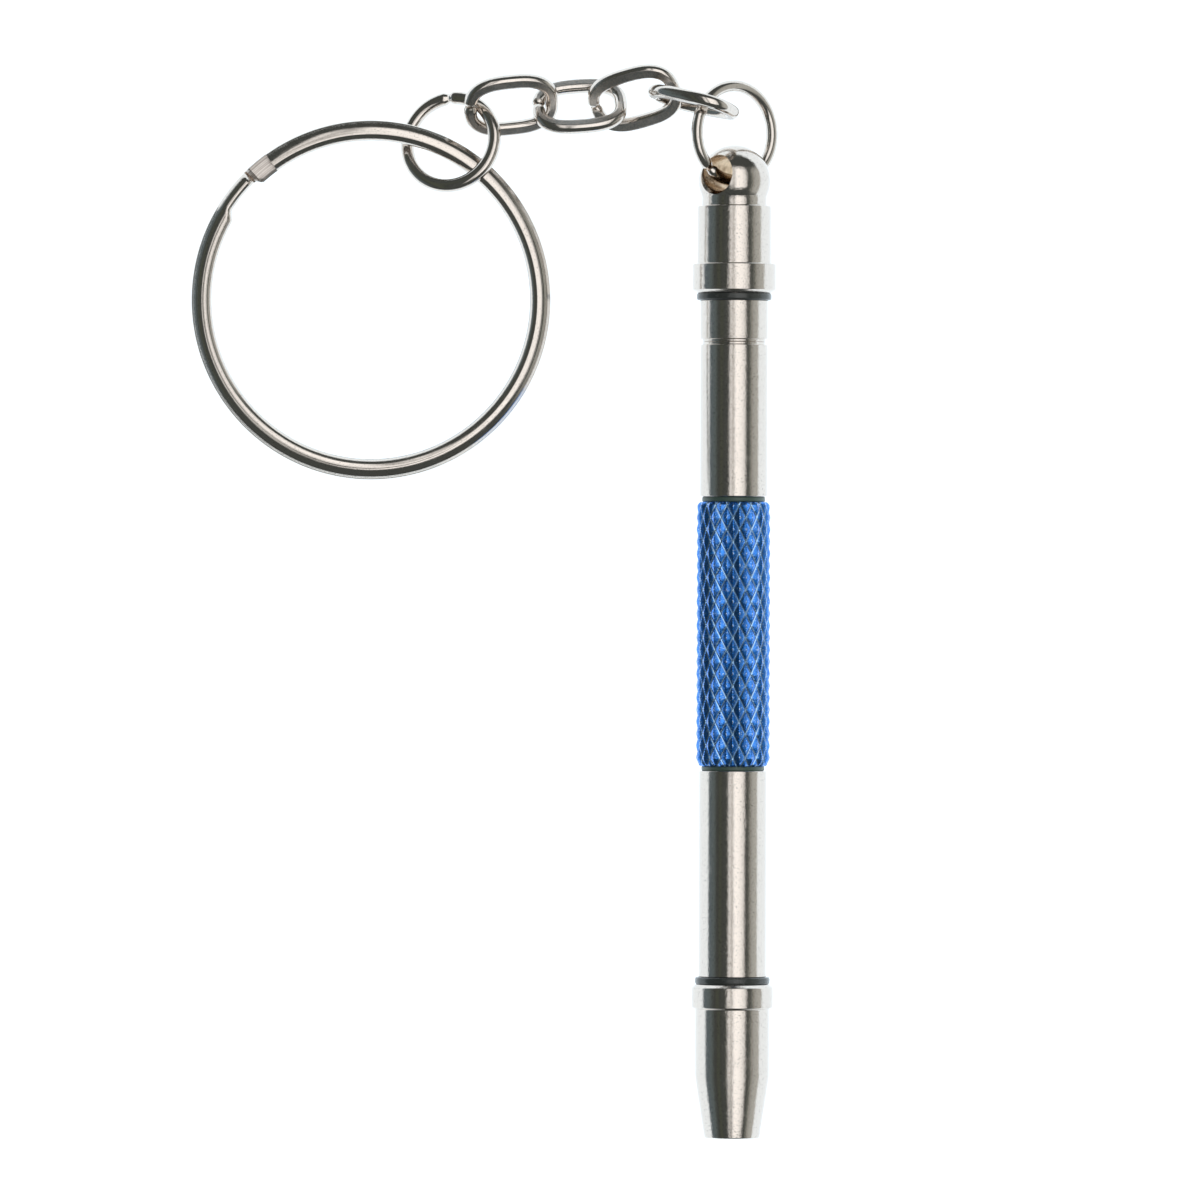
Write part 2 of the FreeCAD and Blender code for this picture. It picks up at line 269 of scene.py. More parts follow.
def noise(tree, place, scale, detail=2.0, roughness=0.5, w=None, dimensions="3D"):
    """A noise pattern by place; in 1D and 4D it also reads a number, w."""
    inputs = (place, w, scale, detail, roughness)
    return put(tree, "ShaderNodeTexNoise", *inputs, noise_dimensions=dimensions).outputs[0]


def turning_marks():
    """Fine rings left by the lathe, longer round the axis than along it, plus loose scratches."""
    inputs = {"Stretch": PLATE_GRAIN, "Seed": 0.0}
    tree, given, result = group("turning_marks", inputs, ["Height", "Streak"])
    place = on_piece(tree)
    stretched = vector(tree, "MULTIPLY", place, given["Stretch"])
    rings = noise(tree, stretched, 1.0, 5.0, 0.65, given["Seed"], "4D")
    grain = noise(tree, place, 5200.0, 3.0)
    tree.links.new(plus(tree, rings, times(tree, grain, 0.35)), result["Height"])
    tree.links.new(between(tree, rings, 0.38, 0.66), result["Streak"])
    return tree


def handling_wear():
    """Smudges, fine dirt and worn edges: a mask of dull patches, of specks and of raised edges."""
    inputs = {"Patch Size": 700.0, "Speckle": 9000.0, "Amount": 0.5}
    tree, given, result = group("handling_wear", inputs, ["Dull", "Spots", "Edge"])
    place = on_piece(tree)
    patches = noise(tree, place, given["Patch Size"], 4.0)
    specks = noise(tree, place, given["Speckle"])
    dull = times(tree, between(tree, patches, 0.45, 0.75), given["Amount"])
    spots = times(tree, between(tree, specks, 0.58, 0.72), given["Amount"])
    curve = put(tree, "ShaderNodeNewGeometry").outputs["Pointiness"]
    tree.links.new(dull, result["Dull"])
    tree.links.new(spots, result["Spots"])
    tree.links.new(between(tree, curve, 0.51, 0.58), result["Edge"])
    return tree


MARKS = turning_marks()
WEAR = handling_wear()


def use_group(tree, node_tree, **values):
    """Place a node group with its own values and return its outputs."""
    node = tree.nodes.new("ShaderNodeGroup")
    node.node_tree = node_tree
    for label, value in values.items():
        node.inputs[label.replace("_", " ")].default_value = value
    return node.outputs


def bare_material(name, **values):
    """A node material with one Principled shader and its plain values set."""
    material = bpy.data.materials.new(name)
    material.use_nodes = True
    shader = material.node_tree.nodes["Principled BSDF"]
    for label, value in values.items():
        shader.inputs[label.replace("_", " ")].default_value = value
    return material, material.node_tree, shader


def surface(tree, shader, colour, roughness, height, depth):
    """Feed a shader its colour, its roughness and the height of its bumps."""
    bump = tree.nodes.new("ShaderNodeBump")
    bump.inputs["Strength"].default_value = 1.0
    bump.inputs["Distance"].default_value = depth
    tree.links.new(height, bump.inputs["Height"])
    tree.links.new(bump.outputs[0], shader.inputs["Normal"])
    tree.links.new(colour, shader.inputs["Base Color"])
    tree.links.new(roughness, shader.inputs["Roughness"])


def nickel(name, stretch=PLATE_GRAIN, depth=1.4e-5, rough=0.07, wear=0.9, seed=0.0, local=None):
    """Bright nickel plate: turning marks, smudges and a little pitting.

    local may change the colour, roughness and height where the piece isn't bright plate.
    """
    material, tree, shader = bare_material(name, Metallic=1.0, Specular_IOR_Level=0.5)
    marks = use_group(tree, MARKS, Stretch=stretch, Seed=seed)
    worn = use_group(tree, WEAR, Amount=wear)
    colour = mixed(tree, worn["Spots"], (*NICKEL, 1), (*dimmed(NICKEL, 0.55), 1))
    colour = mixed(tree, times(tree, worn["Edge"], 0.5), colour, (*dimmed(NICKEL, 1.12), 1))
    haze = times(tree, worn["Dull"], 0.10)
    lines = times(tree, marks["Streak"], 0.05)
    dullness = plus(tree, plus(tree, haze, lines), rough)
    height = marks["Height"]
    if local:
        colour, dullness, height = local(tree, colour, dullness, height)
    surface(tree, shader, colour, dullness, height, depth)
    return material


def rounded(outline, radius, steps=4, closed=False):
    """Round the corners of a (radius, y) outline and hold each straight side flat beside them."""
    points = [Vector(p) for p in outline]
    count = len(points)
    result = []
    for k, corner in enumerate(points):
        if not closed and k in (0, count - 1):
            result.append(corner)
            continue
        before, after = points[k - 1] - corner, points[(k + 1) % count] - corner
        room = SIDE_SHARE * min(before.length, after.length)
        before.normalize()
        after.normalize()
        half = before.angle(after, math.pi) / 2
        if half > NEARLY_STRAIGHT:
            result.append(corner)
            continue
        reach = min(radius / math.tan(half), room)
        bend = reach * math.tan(half)
        centre = corner + (before + after).normalized() * (bend / math.sin(half))
        first, last = corner + before * reach, corner + after * reach
        turn = (first - centre).angle_signed(last - centre)
        hold = min(reach * HOLD_SHARE, EDGE)
        result.append(first + before * hold)
        for s in range(steps + 1):
            arm = first - centre
            a = -turn * s / steps
            c, d = math.cos(a), math.sin(a)
            result.append(centre + Vector((arm.x * c - arm.y * d, arm.x * d + arm.y * c)))
        result.append(last + after * hold)
    return result


def mesh_of(bm):
    """A plain mesh from a bmesh, which is let go."""
    mesh = bpy.data.meshes.new("mesh")
    bm.to_mesh(mesh)
    bm.free()
    return mesh


def turned(outline, around=AROUND, closed=False):
    """Turn (radius, y) points about the driver's axis. A radius may be a function of the angle."""
    bm = bmesh.new()
    rings = []
    for radius, y in outline:
        if not callable(radius) and radius < 1e-9:
            rings.append([bm.verts.new((0, y, 0))])
            continue
        ring = []
        for k in range(around):
            angle = 2 * math.pi * k / around
            r = radius(angle) if callable(radius) else radius
            ring.append(bm.verts.new((r * math.sin(angle), y, r * math.cos(angle))))
        rings.append(ring)
    pairs = list(zip(rings, rings[1:])) + ([(rings[-1], rings[0])] if closed else [])
    for low, high in pairs:
        for k in range(around):
            n = (k + 1) % around
            corners = [low[k % len(low)], low[n % len(low)]]
            corners += [high[n % len(high)], high[k % len(high)]]
            corners = list(dict.fromkeys(corners))
            if len(corners) > 2:
                bm.faces.new(corners)
    bmesh.ops.recalc_face_normals(bm, faces=bm.faces)
    return mesh_of(bm)


def sleeve(inner, outer, start, end):
    """The section of a plain sleeve."""
    return [(inner, start), (outer, start), (outer, end), (inner, end)]


def piece(name, mesh, material, body, node, sharp=SHARP):
    """Show a finished mesh in place of its CAD node, on the same body and finish slot."""
    mesh.shade_smooth()
    mesh.set_sharp_from_angle(angle=sharp)
    mesh.name = name
    faces = [p.material_index for p in mesh.polygons]
    mesh.materials.clear()
    mesh.materials.append(material)
    mesh.polygons.foreach_set("material_index", faces)
    made = bpy.data.objects.new(name, mesh)
    bpy.context.scene.collection.objects.link(made)
    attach(made, body)
    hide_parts(node)
    return made


def reach_of(node):
    """A turned CAD node's outer radius and its two ends along the axis."""
    low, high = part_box(node)
    return (high.x - low.x) / 2, low.y, high.y


GROOVE_WIDE, GROOVE_DEEP = 0.45 * MM, 0.22 * MM
TUBE_EDGE = 0.06 * MM
core_radius = 1.8 * MM
tube_radius, lower_start, lower_end = reach_of("lower_tube")
_, upper_start, upper_end = reach_of("upper_tube")
tube_nickel = nickel("bright_nickel_tubes", seed=1.0)

groove_start = upper_end - GROOVE_WIDE / 2
tubes = {
    "lower_tube": sleeve(core_radius, tube_radius, lower_start, lower_end),
    "upper_tube": [
        (core_radius, upper_start),
        (tube_radius, upper_start),
        (tube_radius, groove_start),
        (tube_radius - GROOVE_DEEP, groove_start),
        (tube_radius - GROOVE_DEEP, upper_end),
        (core_radius, upper_end),
    ],
}
for name, outline in tubes.items():
    mesh = turned(rounded(outline, TUBE_EDGE, closed=True), closed=True)
    piece("plated_" + name, mesh, tube_nickel, "driver", name)


# ---- The core rod ----------------------------------------------------------------------------
# A steel rod inside the grip that both tubes are pressed on. Nothing of it shows once the driver
# is together, so it keeps its plain turned shape.

def ground_steel(name, stretch, rough=0.24):
    """Tool steel with fine grinding lines."""
    material, tree, shader = bare_material(name, Metallic=1.0)
    marks = use_group(tree, MARKS, Stretch=stretch, Seed=7.0)
    worn = use_group(tree, WEAR, Amount=0.4)
    colour = mixed(tree, marks["Streak"], (0.42, 0.42, 0.43, 1), (0.60, 0.59, 0.58, 1))
    colour = mixed(tree, worn["Spots"], colour, (0.24, 0.22, 0.20, 1))
    dullness = plus(tree, times(tree, worn["Dull"], 0.2), rough)
    surface(tree, shader, colour, dullness, marks["Height"], 2e-6)
    return material


turned_steel = ground_steel("turned_steel", (300, 12000, 300))
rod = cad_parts["core_rod"]
rod.data.materials.clear()
rod.data.materials.append(turned_steel)


# ---- The two black washers -------------------------------------------------------------------
# Moulded black plastic rings that part the grip from the tubes. They stand in a little from the
# metal on both sides, so each shows as a dark line.

def black_plastic():
    """Satin black plastic with a greenish cast and a fine moulded grain."""
    material, tree, shader = bare_material("satin_black_plastic")
    worn = use_group(tree, WEAR, Patch_Size=1200.0, Speckle=14000.0, Amount=0.6)
    colour = mixed(tree, worn["Spots"], (0.085, 0.135, 0.110, 1), (0.15, 0.19, 0.17, 1))
    dullness = plus(tree, times(tree, worn["Dull"], 0.25), 0.34)
    surface(tree, shader, colour, dullness, worn["Spots"], 4e-6)
    return material


WASHER_EDGE = 0.12 * MM
washer_plastic = black_plastic()
core_middle = 2.2 * MM
for name in ("lower_washer", "upper_washer"):
    outline = rounded(sleeve(core_middle, *reach_of(name)), WASHER_EDGE, closed=True)
    mesh = turned(outline, closed=True)
    piece("moulded_" + name, mesh, washer_plastic, "driver", name)


# ---- The knurled grip ------------------------------------------------------------------------
# An aluminium sleeve with a diamond knurl rolled in by two crossing sets of helical grooves, then
# anodised blue. Each raised diamond ends in a blunt point, and both ends of the sleeve are rounded.

KNURL_STARTS = 17
KNURL_ROWS = 11
KNURL_DEPTH = 0.27 * MM
CELLS = 20
KNURL_PHASE = (9, -3)
KNURL_BLEND, KNURL_FLANK = 0.16, 0.86
KNURL_SHARP = math.radians(12)
END_DROP = 0.30 * MM
END_REACH = 0.75 * MM
END_ROUND = 0.97
SEAM_MERGE = 1e-7


def geometry_tree(name, sizes, **others):
    """A geometry node tree that takes a mesh, named sizes and a material, and gives a mesh."""
    tree = bpy.data.node_groups.new(name, "GeometryNodeTree")
    inputs = {"Geometry": "Geometry"}
    inputs.update({label: "Float" for label in sizes.split(", ")})
    inputs.update(others, Material="Material")
    for label, kind in inputs.items():
        tree.interface.new_socket(label, in_out="INPUT", socket_type="NodeSocket" + kind)
    tree.interface.new_socket("Geometry", in_out="OUTPUT", socket_type="NodeSocketGeometry")
    return tree, put(tree, "NodeGroupInput").outputs, put(tree, "NodeGroupOutput").inputs


def groove_distance(tree, position, starts, period, way):
    """How far a point is from the nearest of one set of helical grooves, 0 in one and 1 between."""
    angle, y, _ = parts_of(tree, position)
    turns = times(tree, maths(tree, "DIVIDE", angle, 2 * math.pi), starts)
    rise = times(tree, maths(tree, "DIVIDE", y, period), way)
    part = maths(tree, "FRACT", plus(tree, turns, rise))
    gap = maths(tree, "ABSOLUTE", minus(tree, part, 0.5))
    return minus(tree, 1.0, times(tree, gap, 2.0))


def from_ends(tree, y, given):
    """How far a point is from the nearer end of a sheet."""
    return maths(tree, "MINIMUM", minus(tree, y, given["Start"]), minus(tree, given["End"], y))


def stored(tree, geometry, name, value):
    """Keep a value on the mesh for its material to read by name."""
    inputs = (geometry, None, name)
    node = put(tree, "GeometryNodeStoreNamedAttribute", *inputs, data_type="FLOAT", domain="POINT")
    socket = next(s for s in node.inputs if s.name == "Value" and s.enabled)
    tree.links.new(value, socket)
    return node.outputs[0]


def finish_tree(tree, given, result, geometry):
    """End a tree the way the export needs: real geometry with its material."""
    real = put(tree, "GeometryNodeRealizeInstances", geometry).outputs[0]
    dressed = tree.nodes.new("GeometryNodeSetMaterial")
    tree.links.new(real, dressed.inputs["Geometry"])
    tree.links.new(given["Material"], dressed.inputs["Material"])
    tree.links.new(dressed.outputs[0], result["Geometry"])


def wrapped(tree, given, result, sheet, position, radius):
    """Wrap a sheet of (angle, y) round the driver's axis at a radius, close it and end its tree."""
    angle, y, _ = parts_of(tree, position)
    x = times(tree, maths(tree, "SINE", angle), radius)
    z = times(tree, maths(tree, "COSINE", angle), radius)
    placed = put(tree, "GeometryNodeSetPosition", sheet, None, point(tree, x, y, z))
    closed = put(tree, "GeometryNodeMergeByDistance", placed.outputs[0])
    closed.inputs["Distance"].default_value = SEAM_MERGE
    finish_tree(tree, given, result, closed.outputs[0])


def knurl_tree():
    """Two crossing sets of helical grooves raised as diamonds on a wrapped sheet."""
    sizes = "Radius, Depth, Starts, Period, Start, End, End Drop, End Reach, Turned, Offset"
    tree, given, result = geometry_tree("diamond_knurl", sizes)
    position = put(tree, "GeometryNodeInputPosition").outputs[0]
    y = parts_of(tree, position)[1]
    origin = point(tree, given["Turned"], given["Offset"], 0.0)
    shifted = vector(tree, "SUBTRACT", position, origin)
    left = groove_distance(tree, shifted, given["Starts"], given["Period"], 1.0)
    right = groove_distance(tree, shifted, given["Starts"], given["Period"], -1.0)
    near = maths(tree, "SMOOTH_MIN", left, right, KNURL_BLEND)
    near = maths(tree, "MAXIMUM", near, 0.0)
    height = times(tree, maths(tree, "POWER", near, KNURL_FLANK), given["Depth"])
    inward = maths(tree, "DIVIDE", from_ends(tree, y, given), given["End Reach"])
    inward = maths(tree, "MAXIMUM", minus(tree, 1.0, inward), 0.0)
    inward = maths(tree, "MINIMUM", inward, 1.0)
    fall = times(tree, maths(tree, "POWER", inward, 2.0), END_ROUND)
    round_off = minus(tree, 1.0, maths(tree, "SQRT", minus(tree, 1.0, fall)))
    drop = times(tree, round_off, given["End Drop"])
    base = minus(tree, given["Radius"], given["Depth"])
    radius = minus(tree, plus(tree, base, height), drop)
    named = stored(tree, given["Geometry"], "groove", near)
    wrapped(tree, given, result, named, position, radius)
    return tree


def grown(tree, values, seed_mesh=None):
    """Run a geometry tree on a mesh and bake what it makes into a plain mesh."""
    holder = bpy.data.objects.new("growing", seed_mesh or bpy.data.meshes.new("seed"))
    bpy.context.scene.collection.objects.link(holder)
    modifier = holder.modifiers.new("grow", "NODES")
    modifier.node_group = tree
    sockets = {i.name: i.identifier for i in tree.interface.items_tree if i.in_out == "INPUT"}
    for label, value in values.items():
        modifier[sockets[label]] = value
    shape = holder.evaluated_get(bpy.context.evaluated_depsgraph_get())
    mesh = bpy.data.meshes.new_from_object(shape)
    holder.modifiers.remove(modifier)
    bpy.data.objects.remove(holder)
    return mesh


def diamond_sheet(start, end):
    """A flat sheet of (angle, y) whose edges run along both sets of grooves."""
    columns, rows = KNURL_STARTS * CELLS, KNURL_ROWS * CELLS
    bm = bmesh.new()
    verts = {}
    for j in range(rows + 1):
        for i in range(j % 2, columns + 1, 2):
            angle = 2 * math.pi * i / columns
            verts[i, j] = bm.verts.new((angle, start + (end - start) * j / rows, 0))
    for (i, j), corner in verts.items():
        right, left = verts.get((i + 1, j + 1)), verts.get((i - 1, j + 1))
        over = verts.get((i, j + 2))
        if right and left and over:
            bm.faces.new((corner, right, over, left))
        if j == 0 and (i + 2, 0) in verts:
            bm.faces.new((corner, verts[i + 2, 0], verts[i + 1, 1]))
        if j == rows and (i + 2, rows) in verts:
            bm.faces.new((corner, verts[i + 1, rows - 1], verts[i + 2, rows]))
    for j in range(0, rows - 1, 2):
        bm.faces.new((verts[0, j], verts[1, j + 1], verts[0, j + 2]))
        bm.faces.new((verts[columns, j], verts[columns, j + 2], verts[columns - 1, j + 1]))
    return mesh_of(bm)


def bored(mesh, bore):
    """Close a turned skin into a sleeve: turn its open ends in to a bore and join them."""
    bm = bmesh.new()
    bm.from_mesh(mesh)
    ends = [e for e in bm.edges if e.is_boundary]
    rim = bmesh.ops.extrude_edge_only(bm, edges=ends)["geom"]
    inner = [e for e in rim if isinstance(e, bmesh.types.BMEdge) and e.is_boundary]
    for v in {v for e in inner for v in e.verts}:
        flat = Vector((v.co.x, 0, v.co.z)).normalized() * bore
        v.co = (flat.x, v.co.y, flat.z)
    bmesh.ops.bridge_loops(bm, edges=inner)
    bmesh.ops.recalc_face_normals(bm, faces=bm.faces)
    bm.to_mesh(mesh)
    bm.free()
    return mesh


def blue_anodise():
    """Blue anodised aluminium, deep on the flanks, with painted highlights: pale groove lines, point
    glints, sparkle specks and a grazing sheen.
    """
    values = {"Metallic": 1.0, "Coat_Weight": 0.8, "Coat_Roughness": 0.12, "Coat_IOR": 1.5}
    material, tree, shader = bare_material("blue_anodised_knurl", **values)
    depth = put(tree, "ShaderNodeAttribute", attribute_name="groove").outputs["Fac"]
    worn = use_group(tree, WEAR, Patch_Size=900.0, Speckle=8000.0, Amount=0.9)
    marks = use_group(tree, MARKS, Stretch=(2600, 2600, 2600), Seed=3.0)
    # painted highlight: the groove bottoms are mixed to pale blue-white, for the soft box seen in
    # their rounded roots
    line = times(tree, between(tree, depth, 0.22, 0.06), 0.9)
    # painted highlight: the diamonds' blunt points are mixed to near white, as glints
    crest = times(tree, between(tree, depth, 0.78, 0.97), 0.8)
    # painted reflection: the colour turns pale where the sleeve faces away, for the white sheet seen
    # at grazing angles
    rim = between(tree, put(tree, "ShaderNodeLayerWeight").outputs["Facing"], 0.62, 0.92)
    colour = mixed(tree, marks["Streak"], (0.010, 0.175, 0.66, 1), (0.030, 0.265, 0.88, 1))
    # painted sparkle: the speck mask here lightens the blue to pale glints on the facets
    colour = mixed(tree, worn["Spots"], colour, (0.48, 0.72, 1.0, 1))
    colour = mixed(tree, line, colour, (0.46, 0.72, 1.0, 1))
    colour = mixed(tree, crest, colour, (0.80, 0.92, 1.0, 1))
    colour = mixed(tree, times(tree, rim, 0.6), colour, (0.40, 0.56, 0.95, 1))
    dullness = plus(tree, times(tree, worn["Dull"], 0.14), 0.24)
    surface(tree, shader, colour, dullness, marks["Height"], 2.6e-5)
    return material


sleeve_radius, sleeve_start, sleeve_end = reach_of("grip_sleeve")
anodised = blue_anodise()
sheet = diamond_sheet(sleeve_start, sleeve_end)
knurl_period = (sleeve_end - sleeve_start) / KNURL_ROWS
knurled = grown(knurl_tree(), {
    "Radius": sleeve_radius,
    "Depth": KNURL_DEPTH,
    "Starts": float(KNURL_STARTS),
    "Period": knurl_period,
    "Start": sleeve_start,
    "End": sleeve_end,
    "End Drop": END_DROP,
    "End Reach": END_REACH,
    "Turned": 2 * math.pi / KNURL_STARTS / CELLS * KNURL_PHASE[0],
    "Offset": sleeve_start + knurl_period / CELLS * KNURL_PHASE[1],
    "Material": anodised,
}, sheet)
bored(knurled, core_middle)
piece("knurled_grip", knurled, anodised, "driver", "grip_sleeve", KNURL_SHARP)


# ---- The threaded noses ----------------------------------------------------------------------
# A turned plug in each tube's end: spigot, seat for the rubber ring and an M5 thread that its cap
# screws on. The upper one also has the short collar beyond the groove.

THREAD_PITCH = 0.8 * MM
THREAD_DEEP = 0.40 * MM
THREAD_AROUND = 96
THREAD_CREST = 1.15
THREAD_RUN_OUT = 0.38 * MM
THREAD_SHARP = math.radians(25)
ROWS_PER_TURN = 12
PLUG_LENGTH = 4.5 * MM
PLUG_EDGE = 0.05 * MM
PLUG_SHORT = 0.2 * MM


def thread_tree():
    """One helical groove cut round a wrapped sheet, running out at both ends."""
    sizes = "Radius, Depth, Pitch, Start, End, Run Out"
    tree, given, result = geometry_tree("helical_thread", sizes)
    position = put(tree, "GeometryNodeInputPosition").outputs[0]
    y = parts_of(tree, position)[1]
    crest = groove_distance(tree, position, 1.0, given["Pitch"], 1.0)
    crest = maths(tree, "MINIMUM", times(tree, crest, THREAD_CREST), 1.0)
    cut = times(tree, minus(tree, 1.0, crest), given["Depth"])
    bevel = minus(tree, given["Run Out"], from_ends(tree, y, given))
    cut = maths(tree, "MAXIMUM", cut, maths(tree, "MAXIMUM", bevel, 0.0))
    radius = minus(tree, given["Radius"], cut)
    wrapped(tree, given, result, given["Geometry"], position, radius)
    return tree


def plain_sheet(start, end, rows, columns):
    """A flat sheet of (angle, y) in square cells."""
    bm = bmesh.new()
    grid = [[bm.verts.new((2 * math.pi * i / columns, start + (end - start) * j / rows, 0))
             for i in range(columns + 1)] for j in range(rows + 1)]
    for low, high in zip(grid, grid[1:]):
        for i in range(columns):
            bm.faces.new((low[i], low[i + 1], high[i + 1], high[i]))
    return mesh_of(bm)


def joined(meshes):
    """Several meshes in one, for a piece made of more than one surface."""
    bm = bmesh.new()
    for mesh in meshes:
        bm.from_mesh(mesh)
    return mesh_of(bm)


THREAD = thread_tree()
seat_radius = 2.15 * MM
thread_radius = 2.5 * MM
thread_start, thread_length = 0.42 * MM, 3.18 * MM
blade_radius = 1.2 * MM


def nose(name, face, seat, seam, out, material):
    """A nose: face is where its cap seats, out is the way its thread points along the axis."""
    root = seam - out * PLUG_LENGTH
    points = [(blade_radius, root), (core_radius, root), (core_radius, seam)]
    if seat != seam:
        shoulder = seam + out * GROOVE_WIDE / 2
        points += [
            (tube_radius - GROOVE_DEEP, seam),
            (tube_radius - GROOVE_DEEP, shoulder),
            (tube_radius, shoulder),
            (tube_radius, seat),
        ]
    tip = face + out * (thread_start + thread_length)
    plug_end = tip - out * PLUG_SHORT
    points += [(seat_radius, seat), (seat_radius, plug_end), (blade_radius, plug_end)]
    plug = turned(rounded(points, PLUG_EDGE, closed=True), closed=True)
    low, high = sorted((face + out * thread_start, tip))
    rows = round((high - low) / THREAD_PITCH * ROWS_PER_TURN)
    thread = grown(THREAD, {
        "Radius": thread_radius,
        "Depth": THREAD_DEEP,
        "Pitch": THREAD_PITCH,
        "Start": low,
        "End": high,
        "Run Out": THREAD_RUN_OUT,
        "Material": material,
    }, plain_sheet(low, high, rows, THREAD_AROUND))
    bored(thread, seat_radius - 0.1 * MM)
    whole = joined([plug, thread])
    piece("threaded_" + name, whole, material, "driver", name, THREAD_SHARP)


nose_nickel = nickel("nickel_noses", rough=0.12, seed=2.0)
lower_seal_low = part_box("lower_o_ring")[0].y
_, upper_seal_low, upper_seal_high = reach_of("upper_o_ring")
collar_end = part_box("upper_nose")[1].y - 3.6 * MM - (upper_seal_high - upper_seal_low) - 0.02 * MM
nose("lower_nose", lower_seal_low, lower_start, lower_start, -1, nose_nickel)
nose("upper_nose", upper_seal_high, collar_end, upper_end, 1, nose_nickel)


# ---- The two blades --------------------------------------------------------------------------
# Hardened steel bits pressed into the noses and hidden under the caps: a flat one ground from a
# round shank on both sides, and a cross-point one with four milled flutes.

BLADE_AROUND = 96
SLOT_TIP, SLOT_SLOPE, SLOT_ROWS = 0.2 * MM, 0.28, 60
WING_TIP, WING_SLOPE, FLUTE_DRAFT = 0.19 * MM, 0.22, 0.108
POINT_TIP, POINT_CONE, POINT_LENGTH = 0.2 * MM, 0.42 * MM, 0.35 * MM
TAPER_LENGTH, WING_LENGTH, SHANK_SHORT = 1.9 * MM, 4.6 * MM, 5 * MM
WING_ROWS = 40
along_steel = ground_steel("ground_blade_steel", (9000, 500, 9000), 0.2)


def slotted_blade(root, tip):
    """A round shank whose two faces are ground to a thin straight tip."""
    length = abs(tip - root)
    outline = [(0, root), (blade_radius, root)]
    for k in range(1, SLOT_ROWS + 1):
        outline.append((blade_radius, root + (tip - root) * k / SLOT_ROWS))
    outline.append((0, tip))
    mesh = turned(outline, BLADE_AROUND)
    for v in mesh.vertices:
        half = SLOT_TIP + SLOT_SLOPE * min(abs(tip - v.co.y), length)
        v.co.z = max(-half, min(half, v.co.z))
    return mesh


def phillips_radius(depth, shank):
    """The outline of the cross point at a distance from its tip, as a function of the angle."""
    apex = WING_TIP + WING_SLOPE * depth

    def radius(angle):
        quarter = angle % (math.pi / 2)
        low = min(quarter, math.pi / 2 - quarter)
        across = math.cos(math.pi / 2 - low) - FLUTE_DRAFT * math.cos(low)
        if across <= 1e-6:
            return shank
        return min(shank, apex * (1 - FLUTE_DRAFT) / across)

    return radius


def phillips_blade(root, tip):
    """A round shank turned to a blunt point, with four flutes between its wings."""
    outline = [(0, root), (blade_radius, root), (blade_radius, tip - SHANK_SHORT)]
    for k in range(WING_ROWS + 1):
        depth = WING_LENGTH * (1 - k / WING_ROWS)
        if depth > TAPER_LENGTH:
            shank = blade_radius
        elif depth > POINT_LENGTH:
            share = (depth - POINT_LENGTH) / (TAPER_LENGTH - POINT_LENGTH)
            shank = POINT_CONE + (blade_radius - POINT_CONE) * share
        else:
            shank = POINT_TIP + (POINT_CONE - POINT_TIP) * depth / POINT_LENGTH
        outline.append((phillips_radius(depth, shank), tip - depth))
    outline.append((0, tip))
    return turned(outline, 4 * BLADE_AROUND)


low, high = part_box("slotted_blade")
slotted = slotted_blade(high.y, low.y)
piece("ground_slotted_blade", slotted, along_steel, "driver", "slotted_blade")
low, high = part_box("phillips_blade")
phillips = phillips_blade(low.y, high.y)
piece("milled_phillips_blade", phillips, along_steel, "driver", "phillips_blade")


# ---- The rubber rings ------------------------------------------------------------------------
# A glossy black O-ring nipped under each cap, bulging a little past the plated edges either side.

def black_rubber():
    """Shiny nitrile rubber with faint dust, a soft moulding grain and a painted pale sheen where it
    faces away.
    """
    material, tree, shader = bare_material("black_nitrile_rubber", Specular_IOR_Level=0.6)
    worn = use_group(tree, WEAR, Patch_Size=1500.0, Speckle=12000.0, Amount=0.5)
    # painted reflection: the colour turns pale grey where the ring faces away, for the white sheet
    # seen at its ends
    rim = between(tree, put(tree, "ShaderNodeLayerWeight").outputs["Facing"], 0.45, 0.95)
    colour = mixed(tree, worn["Spots"], (0.055, 0.060, 0.056, 1), (0.12, 0.12, 0.12, 1))
    colour = mixed(tree, times(tree, rim, 0.7), colour, (0.42, 0.46, 0.50, 1))
    dullness = plus(tree, times(tree, worn["Dull"], 0.25), 0.2)
    surface(tree, shader, colour, dullness, worn["Dull"], 6e-6)
    return material


SEAL_CROWN = 0.17 * MM
SEAL_ARC = 24
rubber = black_rubber()
for name, body in (("lower_o_ring", "lower_seal"), ("upper_o_ring", "upper_seal")):
    low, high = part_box(name)
    outer, middle, half = high.x, (low.y + high.y) / 2, (high.y - low.y) / 2
    inner = seat_radius + 0.04 * MM
    outline = [(inner, low.y), (inner, high.y)]
    for k in range(SEAL_ARC + 1):
        across = math.cos(math.pi * k / SEAL_ARC)
        fall = SEAL_CROWN * (1 - (1 - abs(across) ** 3) ** (1 / 3))
        outline.append((outer - fall, middle + half * across))
    piece("rubber_" + name, turned(outline, closed=True), rubber, body, name)


# ---- The socket cap --------------------------------------------------------------------------
# The tapered lower cap, turned from brass and nickel plated. It screws over the slotted blade, and
# a hexagon socket is broached in its tip.

def hexagon(flats):
    """The radius of a hexagon at an angle."""
    def radius(angle):
        part = (angle + math.pi / 6) % (math.pi / 3) - math.pi / 6
        return flats / 2 / math.cos(part)
    return radius


